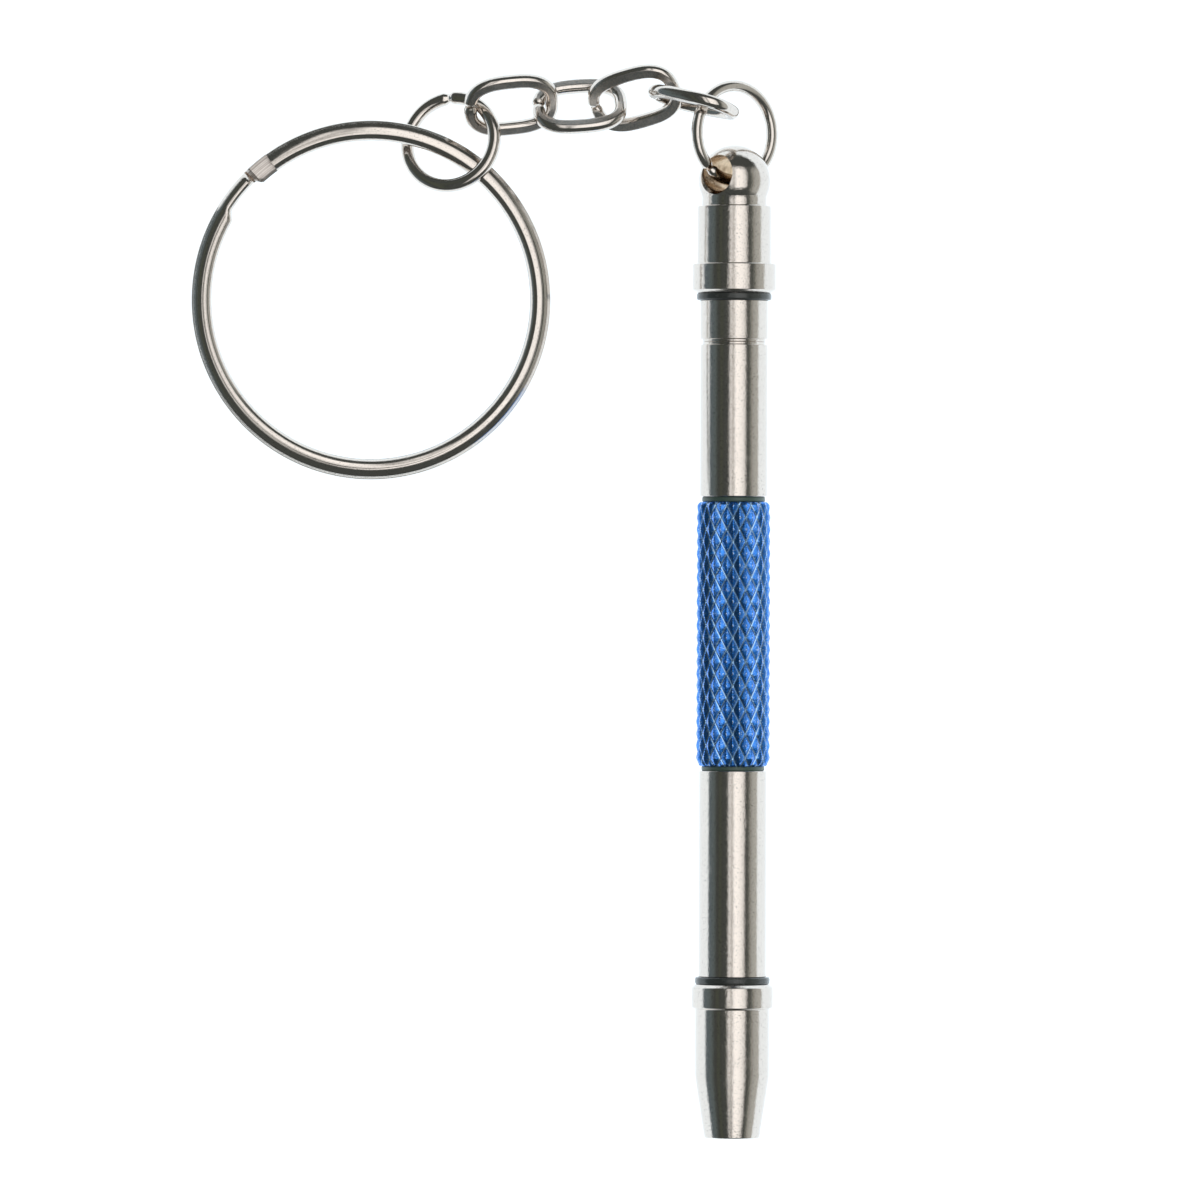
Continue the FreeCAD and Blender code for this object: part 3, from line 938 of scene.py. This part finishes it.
cap_nickel = nickel("bright_nickel_caps", seed=4.0)
low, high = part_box("socket_cap")
flange_radius, cap_top = high.x, high.y
cap_radius, tip_radius, taper_end = 3.1 * MM, 2.3 * MM, 5.14 * MM
seal_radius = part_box("lower_o_ring")[1].x
thread_bore, drill_bore = 2.56 * MM, 1.7 * MM
bore_end = cap_top - 4.2 * MM
outside = rounded([
    (1.75 * MM, 0.14 * MM),
    (1.9 * MM, 0),
    (tip_radius, 0),
    (cap_radius, taper_end),
    (cap_radius, 10.77 * MM),
    (flange_radius, 10.83 * MM),
    (flange_radius, 12.53 * MM),
    (seal_radius, cap_top),
    (thread_bore + 0.15 * MM, cap_top),
    (thread_bore, cap_top - 0.15 * MM),
    (thread_bore, bore_end),
    (drill_bore, bore_end - 0.8 * MM),
    (drill_bore, 4.9 * MM),
    (0, 4.6 * MM),
], 0.10 * MM)
socket_flats, socket_deep, socket_rows = 3.2 * MM, 3.25 * MM, 6
socket = [(0, 3.3 * MM), (hexagon(2.9 * MM), 3.4 * MM)]
for k in range(socket_rows):
    socket.append((hexagon(socket_flats), socket_deep * (1 - k / socket_rows)))
socket.append((hexagon(socket_flats), 0.2 * MM))
socket_cap = turned(socket + outside, 2 * AROUND)
piece("socket_cap_shell", socket_cap, cap_nickel, "lower_cap", "socket_cap")


# ---- The ball cap ----------------------------------------------------------------------------
# The upper cap screws over the cross-point blade. It is turned with a flange, a neck and a ball,
# and a hole is drilled across the ball for the end ring, with its edge broken by a small chamfer.

BALL_ARC = 64
HOLE_LEAN = (0.6, 0, -0.8)
low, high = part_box("upper_cap")
ball_radius = 3.0 * MM
ball_centre = high.y - ball_radius
flange_low, flange_high = low.y, 72.81 * MM
neck_radius, shoulder = 2.7 * MM, 77.64 * MM
neck_top = ball_centre - math.sqrt(ball_radius**2 - neck_radius**2)
hole_centre = Vector((0, 80.31 * MM, 0))
hole_radius = 1.5 * MM


def ball_cap_body():
    """The turned body, from the bore's end out over the ball."""
    body = rounded([
        (0, 78.1 * MM),
        (1.5 * MM, 77.8 * MM),
        (1.5 * MM, flange_low + 5.0 * MM),
        (thread_bore, flange_low + 4.2 * MM),
        (thread_bore, flange_low + 0.15 * MM),
        (thread_bore + 0.15 * MM, flange_low),
        (seal_radius, flange_low),
        (flange_radius + 0.09 * MM, flange_low + 0.25 * MM),
        (flange_radius + 0.09 * MM, flange_high),
        (cap_radius - 0.02 * MM, flange_high),
        (cap_radius - 0.02 * MM, shoulder),
        (neck_radius, shoulder),
        (neck_radius, neck_top),
    ], 0.08 * MM)
    first = math.asin((neck_top - ball_centre) / ball_radius)
    for k in range(1, BALL_ARC + 1):
        a = first + (math.pi / 2 - first) * k / BALL_ARC
        r = 0 if k == BALL_ARC else ball_radius * math.cos(a)
        body.append((r, ball_centre + ball_radius * math.sin(a)))
    return turned(body, AROUND)


def cross_hole():
    """The drill that makes the cross hole, flared where it breaks the ball's surface."""
    mouth = math.sqrt(ball_radius**2 - hole_radius**2 - (hole_centre.y - ball_centre) ** 2)
    edge, flare, reach = mouth - 0.22 * MM, 1.2 * MM, 4.4 * MM
    profile = rounded([
        (0, -reach),
        (hole_radius + flare, -reach),
        (hole_radius, -edge),
        (hole_radius, edge),
        (hole_radius + flare, reach),
        (0, reach),
    ], 0.5 * MM, 6)
    mesh = turned(profile, AROUND)
    turn = Vector((0, 1, 0)).rotation_difference(Vector(HOLE_LEAN))
    mesh.transform(turn.to_matrix().to_4x4())
    mesh.transform(Matrix.Translation(hole_centre))
    return mesh


def cut_away(mesh, tool):
    """One mesh with another cut out of it."""
    solid = bpy.data.objects.new("solid", mesh)
    drill = bpy.data.objects.new("drill", tool)
    for item in (solid, drill):
        bpy.context.scene.collection.objects.link(item)
    cut = solid.modifiers.new("cut", "BOOLEAN")
    cut.operation, cut.solver, cut.object = "DIFFERENCE", "EXACT", drill
    shape = solid.evaluated_get(bpy.context.evaluated_depsgraph_get())
    result = bpy.data.meshes.new_from_object(shape)
    for item in (solid, drill):
        bpy.data.objects.remove(item)
    return result


def length_of(tree, arm):
    return put(tree, "ShaderNodeVectorMath", arm, operation="LENGTH").outputs["Value"]


def bare_brass(tree, colour, dullness, height):
    """The plate is thin inside the cross hole, where warm brass shows through in streaks."""
    place = on_piece(tree)
    from_axis = vector(tree, "SUBTRACT", place, hole_centre)
    side = vector(tree, "CROSS_PRODUCT", from_axis, HOLE_LEAN)
    inside = between(tree, length_of(tree, side), hole_radius + 0.05 * MM, hole_radius + 0.02 * MM)
    streaks = between(tree, noise(tree, place, 900.0), 0.35, 0.65)
    brass = mixed(tree, streaks, (0.26, 0.17, 0.10, 1), (0.60, 0.45, 0.30, 1))
    rough = plus(tree, dullness, times(tree, inside, 0.12))
    return mixed(tree, inside, colour, brass), rough, height


ball_nickel = nickel("bright_nickel_ball_cap", seed=4.0, local=bare_brass)
ball_cap = cut_away(ball_cap_body(), cross_hole())
piece("ball_cap_shell", ball_cap, ball_nickel, "ball_cap", "upper_cap")


# ---- Wire rings and chain --------------------------------------------------------------------
# Rings and links bent from round nickel-plated wire and closed by a butt seam. The links' broad
# sides are flattened, as a curb chain's are, and are duller there. Each hangs in the next one.

WIRE_STEPS = 200
WIRE_SIDES = 40
SEAM_GAP = 0.12 * MM
SEAM_CHAMFER, CHAMFER_STEPS = 0.72, 3


def wire_tree():
    """A bent wire: an oval or ring, open at its seam, swept, pressed flat and placed."""
    sizes = "Half Length, Half Width, Oval, Wire, Square, Swell, Seam, Gap, Flat"
    tree, given, result = geometry_tree("bent_wire", sizes, Turn="Rotation", Middle="Vector")
    line = put(tree, "GeometryNodeMeshLine")
    line.inputs["Count"].default_value = WIRE_STEPS
    index = put(tree, "GeometryNodeInputIndex").outputs[0]
    share = maths(tree, "DIVIDE", index, WIRE_STEPS - 1.0)
    open_angle = maths(tree, "DIVIDE", given["Gap"], given["Half Length"])
    sweep = minus(tree, 2 * math.pi, open_angle)
    start = plus(tree, given["Seam"], times(tree, open_angle, 0.5))
    angle = plus(tree, start, times(tree, share, sweep))
    path = []
    for wave, half in (("COSINE", "Half Length"), ("SINE", "Half Width")):
        part = maths(tree, wave, angle)
        bowed = maths(tree, "POWER", maths(tree, "ABSOLUTE", part), given["Oval"])
        signed = times(tree, maths(tree, "SIGN", part), bowed)
        path.append(times(tree, signed, given[half]))
    place = point(tree, *path, 0.0)
    from_end = maths(tree, "MINIMUM", index, minus(tree, WIRE_STEPS - 1.0, index))
    cut = between(tree, from_end, 0, CHAMFER_STEPS, SEAM_CHAMFER, 1.0)
    side = maths(tree, "POWER", maths(tree, "ABSOLUTE", maths(tree, "SINE", angle)), 2.0)
    fuller = plus(tree, 1.0, times(tree, side, given["Swell"]))
    thick = times(tree, fuller, cut)
    bent = put(tree, "GeometryNodeSetPosition", line.outputs[0], None, place)
    curve = put(tree, "GeometryNodeMeshToCurve", bent.outputs[0])
    upright = put(tree, "GeometryNodeSetCurveNormal", curve.outputs[0], mode="Z_UP")
    half_wire = times(tree, given["Wire"], 0.5)
    circle = tree.nodes.new("GeometryNodeCurvePrimitiveCircle")
    circle.inputs["Resolution"].default_value = WIRE_SIDES
    tree.links.new(half_wire, circle.inputs["Radius"])
    around = put(tree, "GeometryNodeInputPosition").outputs[0]
    around = put(tree, "ShaderNodeVectorMath", around, operation="NORMALIZE").outputs[0]
    u, v, _ = parts_of(tree, around)
    powers = [maths(tree, "POWER", maths(tree, "ABSOLUTE", c), given["Square"]) for c in (u, v)]
    root = maths(tree, "DIVIDE", 1.0, given["Square"])
    reach = maths(tree, "POWER", plus(tree, *powers), root)
    reach = maths(tree, "DIVIDE", half_wire, reach)
    wide = point(tree, times(tree, u, reach), times(tree, v, reach))
    section = put(tree, "GeometryNodeSetPosition", circle.outputs[0], None, wide)
    swept = tree.nodes.new("GeometryNodeCurveToMesh")
    tree.links.new(upright.outputs[0], swept.inputs["Curve"])
    tree.links.new(section.outputs[0], swept.inputs["Profile Curve"])
    tree.links.new(thick, swept.inputs["Scale"])
    swept.inputs["Fill Caps"].default_value = True
    position = put(tree, "GeometryNodeInputPosition").outputs[0]
    x, y, z = parts_of(tree, position)
    low = times(tree, given["Flat"], -1.0)
    beyond = maths(tree, "GREATER_THAN", maths(tree, "ABSOLUTE", z), given["Flat"])
    marked = stored(tree, swept.outputs[0], "pressed", beyond)
    z = maths(tree, "MAXIMUM", maths(tree, "MINIMUM", z, given["Flat"]), low)
    pressed = point(tree, x, y, z)
    flattened = put(tree, "GeometryNodeSetPosition", marked, None, pressed)
    moved = tree.nodes.new("GeometryNodeTransform")
    tree.links.new(flattened.outputs[0], moved.inputs["Geometry"])
    tree.links.new(given["Turn"], moved.inputs["Rotation"])
    tree.links.new(given["Middle"], moved.inputs["Translation"])
    finish_tree(tree, given, result, moved.outputs[0])
    return tree


def turn_of(yaw, pitch, roll):
    """Roll about X, raise the +X end by pitch, then turn by yaw, as Euler angles."""
    return Euler([math.radians(a) for a in (roll, -pitch, yaw)], "XYZ")


def pressed_flats(tree, colour, dullness, height):
    """The flattened sides of a link are matt and mottled where the press scuffed the plate."""
    flat = put(tree, "ShaderNodeAttribute", attribute_name="pressed").outputs["Fac"]
    grain = noise(tree, on_piece(tree), 7000.0, 4.0)
    spots = times(tree, between(tree, grain, 0.42, 0.60), flat)
    colour = mixed(tree, times(tree, spots, 0.5), colour, (0.42, 0.42, 0.42, 1))
    rough = plus(tree, dullness, times(tree, flat, 0.24))
    scuff = times(tree, times(tree, grain, flat), 2.5)
    return colour, rough, plus(tree, height, scuff)


BENT_WIRE = wire_tree()
WIRE_GRAIN = (2500, 2500, 2500)
chain_nickel = nickel("nickel_chain_wire", WIRE_GRAIN, 2.6e-6, 0.09, 0.7, 5.0, pressed_flats)


def bent_wire(halves, wire, seam, turn, middle, oval=2.0, flat=1.01, swell=0.0, square=2.3):
    """A mesh of one bent ring or link; lengths in millimetres and the seam in degrees."""
    return grown(BENT_WIRE, {
        "Half Length": halves[0] * MM,
        "Half Width": halves[1] * MM,
        "Oval": 2 / oval,
        "Wire": wire * MM,
        "Square": square,
        "Swell": swell,
        "Seam": math.radians(seam),
        "Gap": SEAM_GAP,
        "Flat": flat * wire / 2 * MM,
        "Turn": turn,
        "Middle": Vector(middle) * MM,
        "Material": chain_nickel,
    })


LINK_HALVES, LINK_WIRE = (3.45, 2.3), 1.1
LINK_OVAL, LINK_SWELL, LINK_SEAM, LINK_SQUARE = 2.75, 0.10, 175.0, 2.1
LINKS = {
    "link_1": ((-18.65, 86.05, -1.03), (6.3, -6.3, 36.4), 0.93),
    "link_2": ((-12.93, 85.98, -1.37), (4.4, -2.1, -40.6), 0.97),
    "link_3": ((-8.31, 86.66, -0.95), (15.5, 16.4, 31.4), 0.87),
    "link_4": ((-3.45, 86.27, 0.68), (-12.8, 31.2, 83.5), 0.92),
}
for name, (middle, lean, flat) in LINKS.items():
    shape = (LINK_OVAL, flat, LINK_SWELL, LINK_SQUARE)
    mesh = bent_wire(LINK_HALVES, LINK_WIRE, LINK_SEAM, turn_of(*lean), middle, *shape)
    piece("chain_" + name, mesh, chain_nickel, name, name)

RING_LINK_HALVES, RING_LINK_WIRE, RING_LINK_SEAM = (3.83, 3.83), 1.1, 97.0
ring_place, ring_lean = (-23.66, 82.99, -1.39), turn_of(0.1, 18.5, -15.2)
mesh = bent_wire(RING_LINK_HALVES, RING_LINK_WIRE, RING_LINK_SEAM, ring_lean, ring_place)
piece("bent_ring_link", mesh, chain_nickel, "ring_link", "ring_link")

END_RING_HALVES, END_RING_WIRE, END_RING_SEAM = (3.94, 3.94), 0.98, -132.0
end_place, end_lean = (0, 83.71, 0), Euler((0, math.radians(37), 0))
mesh = bent_wire(END_RING_HALVES, END_RING_WIRE, END_RING_SEAM, end_lean, end_place, square=2.1)
piece("bent_end_ring", mesh, chain_nickel, "end_ring", "end_ring")


# ---- The split ring --------------------------------------------------------------------------
# Two turns of flattened spring wire, 30 mm across, plated. The turns lie face to face, and the
# wire narrows where it climbs from the lower turn to the upper. Both ends are cut square.

RING_OUTER, RING_BAND, RING_THICK = 15.0 * MM, 1.7 * MM, 0.93 * MM
RING_FACE = 0.02 * MM
NARROW_BAND = 1.2 * MM
UPPER_END, RISE_START, RISE_END = 126.0, 133.5, 148.0
RING_MIDDLE = Vector((-30.30, 69.76, -1.62)) * MM
RING_TILT = Vector((0.035, -0.050, 1))
OUTER_DOME, OUTER_WALL = 1.8, 0.14
INNER_DOME, INNER_WALL = 1.9, 0.34
CREST = 0.37
STEP_SQUEEZE = 0.12
NARROW_START, NARROW_END = (RISE_START - 1, RISE_START + 1), (RISE_END - 1, RISE_END + 3)
LOWER_START, UPPER_START = RISE_END + 3.5 - 360, RISE_START - 0.6
CLIMB_END = RISE_START + 3
LOWER_STEPS, UPPER_STEPS = 340, 500
SECTION_SIDES = 32
FLAT_SIDES = 6


def step(value, low, high):
    """A smooth climb from 0 to 1 between two values."""
    t = max(0.0, min(1.0, (value - low) / (high - low)))
    return t * t * (3 - 2 * t)


def wire_section(angle, climb):
    """The wire's (radius, z) section: domed away from the other turn, its crest nearer the inside.

    climb is 0 on the lower turn and 1 on the upper one; between them the dome turns over.
    """
    narrow = step(angle, *NARROW_START) * (1 - step(angle, *NARROW_END))
    band = RING_BAND + (NARROW_BAND - RING_BAND) * narrow
    inner = RING_OUTER - band
    lift = (2 * climb - 1) * (RING_FACE + RING_THICK / 2)
    top, bottom = 0.5 + 0.5 * min(1, 2 * climb), 0.5 + 0.5 * min(1, 2 - 2 * climb)
    squeeze = 1 - STEP_SQUEEZE * (1 - abs(2 * climb - 1))
    points = []
    for k in range(SECTION_SIDES + FLAT_SIDES):
        if k <= SECTION_SIDES:
            a = math.pi * k / SECTION_SIDES
            outside = 2 * k < SECTION_SIDES
            dome, wall = (OUTER_DOME, OUTER_WALL) if outside else (INNER_DOME, INNER_WALL)
            out = abs(math.cos(a)) ** (2 / dome)
            share = CREST + out * (1 - CREST) if outside else CREST - out * CREST
            risen = wall + (1 - wall) * abs(math.sin(a)) ** (2 / dome)
            height = 2 * risen - 1 if climb > 0.5 else 1 - 2 * risen
        else:
            share = (k - SECTION_SIDES) / FLAT_SIDES
            height = -1 if climb > 0.5 else 1
        reach = top if height > 0 else bottom
        z = lift + height * reach * RING_THICK / 2 * squeeze
        points.append((inner + band * share, z))
    return points


def band(start, end, steps, climb):
    """A stretch of the wire between two angles, closed at both ends. climb is a function."""
    bm = bmesh.new()
    rings = []
    for s in range(steps + 1):
        angle = start + (end - start) * s / steps
        a = math.radians(angle)
        section = wire_section(angle, climb(angle))
        rings.append([bm.verts.new((r * math.cos(a), r * math.sin(a), z)) for r, z in section])
    count = len(rings[0])
    for low, high in zip(rings, rings[1:]):
        for k in range(count):
            n = (k + 1) % count
            face = bm.faces.new((low[k], low[n], high[n], high[k]))
            face.material_index = 1 if k >= SECTION_SIDES else 0
    for cap in (rings[0], rings[-1]):
        bm.faces.new(cap).material_index = 1
    bmesh.ops.recalc_face_normals(bm, faces=bm.faces)
    return mesh_of(bm)


def wire_lines(tree, scale, detail):
    """Fine lines that follow the wire round the ring."""
    arm = vector(tree, "SUBTRACT", on_piece(tree), RING_MIDDLE)
    return noise(tree, None, scale, detail, w=length_of(tree, arm), dimensions="1D")


def brushed_face(tree, colour, dullness, height):
    """The face between the turns is flat, satin and warm, with fine lines along the wire."""
    lines = wire_lines(tree, 9000.0, 2.0)
    shade = between(tree, lines, 0.35, 0.65)
    colour = mixed(tree, shade, (0.52, 0.46, 0.42, 1), (0.84, 0.78, 0.73, 1))
    return colour, plus(tree, dullness, 0.22), plus(tree, height, lines)


def drawn_lines(tree, colour, dullness, height):
    """Fine die lines that run along the wire and break up what it reflects."""
    lines = times(tree, wire_lines(tree, 5200.0, 3.0), 7.0)
    return colour, dullness, plus(tree, height, lines)


RING_GRAIN = (2200, 2200, 2200)
split_nickel = nickel("nickel_split_ring", RING_GRAIN, 2.4e-6, 0.09, 0.8, 6.0, drawn_lines)
face_nickel = nickel("satin_split_ring_faces", RING_GRAIN, 2.4e-6, 0.12, 0.8, 6.0, brushed_face)
lower_turn = band(LOWER_START, RISE_START, LOWER_STEPS, lambda a: 0.0)
upper_turn = band(UPPER_START, UPPER_END + 360, UPPER_STEPS, lambda a: step(a, UPPER_START, CLIMB_END))
whole = joined([lower_turn, upper_turn])
lean = Vector((0, 0, 1)).rotation_difference(RING_TILT)
whole.transform(lean.to_matrix().to_4x4())
whole.transform(Matrix.Translation(RING_MIDDLE))
split = piece("plated_split_ring", whole, split_nickel, "split_ring", "split_ring")
split.data.materials.append(face_nickel)
